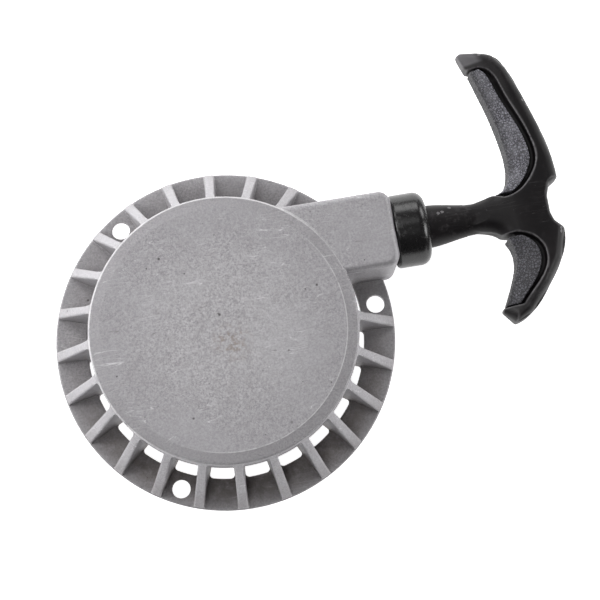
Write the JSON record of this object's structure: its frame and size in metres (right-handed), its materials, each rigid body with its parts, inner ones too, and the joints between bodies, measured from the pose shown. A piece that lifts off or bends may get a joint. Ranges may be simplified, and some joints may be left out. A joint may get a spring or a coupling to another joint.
{
  "type": "recoil starter",
  "caption": "Pull-cord recoil starter for a small engine: ribbed cast housing with a cord outlet, reel, spring and pawls inside, rubber bumper and T-shaped pull handle.",
  "frame": {"origin": "centre of the mounting face, on the reel's axis", "axes": "+Z along the reel's axis, out of the closed cap and away from the engine; +X the way the cord is pulled, so the outlet and the handle are on +X; +Y the side the cord leaves the reel on"},
  "size_m": [0.1994, 0.158, 0.0315],
  "materials": {
    "cast_aluminium": "as-cast, tumbled",
    "bumper_rubber": "smooth, slightly glossy",
    "ferrule_steel": "zinc plated",
    "case_steel": "zinc plated sheet",
    "spring_steel": "blued, oiled",
    "reel_nylon": "moulded, matt",
    "cord_nylon": "braided",
    "pawl_steel": "hardened",
    "plate_steel": "zinc plated sheet",
    "fastener_zinc": "zinc plated",
    "handle_plastic": "moulded, satin",
    "grip_rubber": "leather grain"
  },
  "bodies": {
    "housing_body": {"housing": "cast_aluminium", "outlet_bumper": "bumper_rubber", "cord_ferrule": "ferrule_steel", "spring_case": "case_steel", "spring_cover": "case_steel", "recoil_spring": "spring_steel", "centre_screw": "fastener_zinc", "lock_washer": "fastener_zinc", "centre_washer": "fastener_zinc"},
    "reel_body": {"reel": "reel_nylon", "cord_wound": "cord_nylon", "reel_knot": "cord_nylon", "brake_spring": "spring_steel"},
    "plate_body": {"throw_plate": "plate_steel"},
    "pawl_a_body": {"pawl_a": "pawl_steel"},
    "pawl_b_body": {"pawl_b": "pawl_steel"},
    "handle_body": {"handle": "handle_plastic", "grip_pad_long": "grip_rubber", "grip_pad_short": "grip_rubber", "knot_washer": "fastener_zinc", "handle_knot": "cord_nylon", "cord_run": "cord_nylon"}
  },
  "joints": [
    {"name": "handle_pull", "type": "slide", "parent": "housing_body", "child": "handle_body", "axis": [1, 0, 0], "range_m": [0, 0.75], "deforming": ["cord_run"]},
    {"name": "reel_spin", "type": "hinge", "parent": "housing_body", "child": "reel_body", "pos_m": [0, 0, 0.016], "axis": [0, 0, 1], "range_deg": [-2000, 0], "deforming": ["recoil_spring"]},
    {"name": "plate_lag", "type": "hinge", "parent": "reel_body", "child": "plate_body", "pos_m": [0, 0, 0.0068], "axis": [0, 0, 1], "range_deg": [0, 20]},
    {"name": "pawl_a_swing", "type": "hinge", "parent": "reel_body", "child": "pawl_a_body", "pos_m": [0.022, 0, 0.0091], "axis": [0, 0, 1], "range_deg": [0, 28.1]},
    {"name": "pawl_b_swing", "type": "hinge", "parent": "reel_body", "child": "pawl_b_body", "pos_m": [-0.022, 0, 0.0091], "axis": [0, 0, 1], "range_deg": [0, 28.1]}
  ],
  "couplings": [
    {"joint": "reel_spin", "follows": "handle_pull", "rad_per_m": -46.4},
    {"joint": "pawl_a_swing", "follows": "plate_lag", "ratio": 1.4},
    {"joint": "pawl_b_swing", "follows": "plate_lag", "ratio": 1.4}
  ]
}
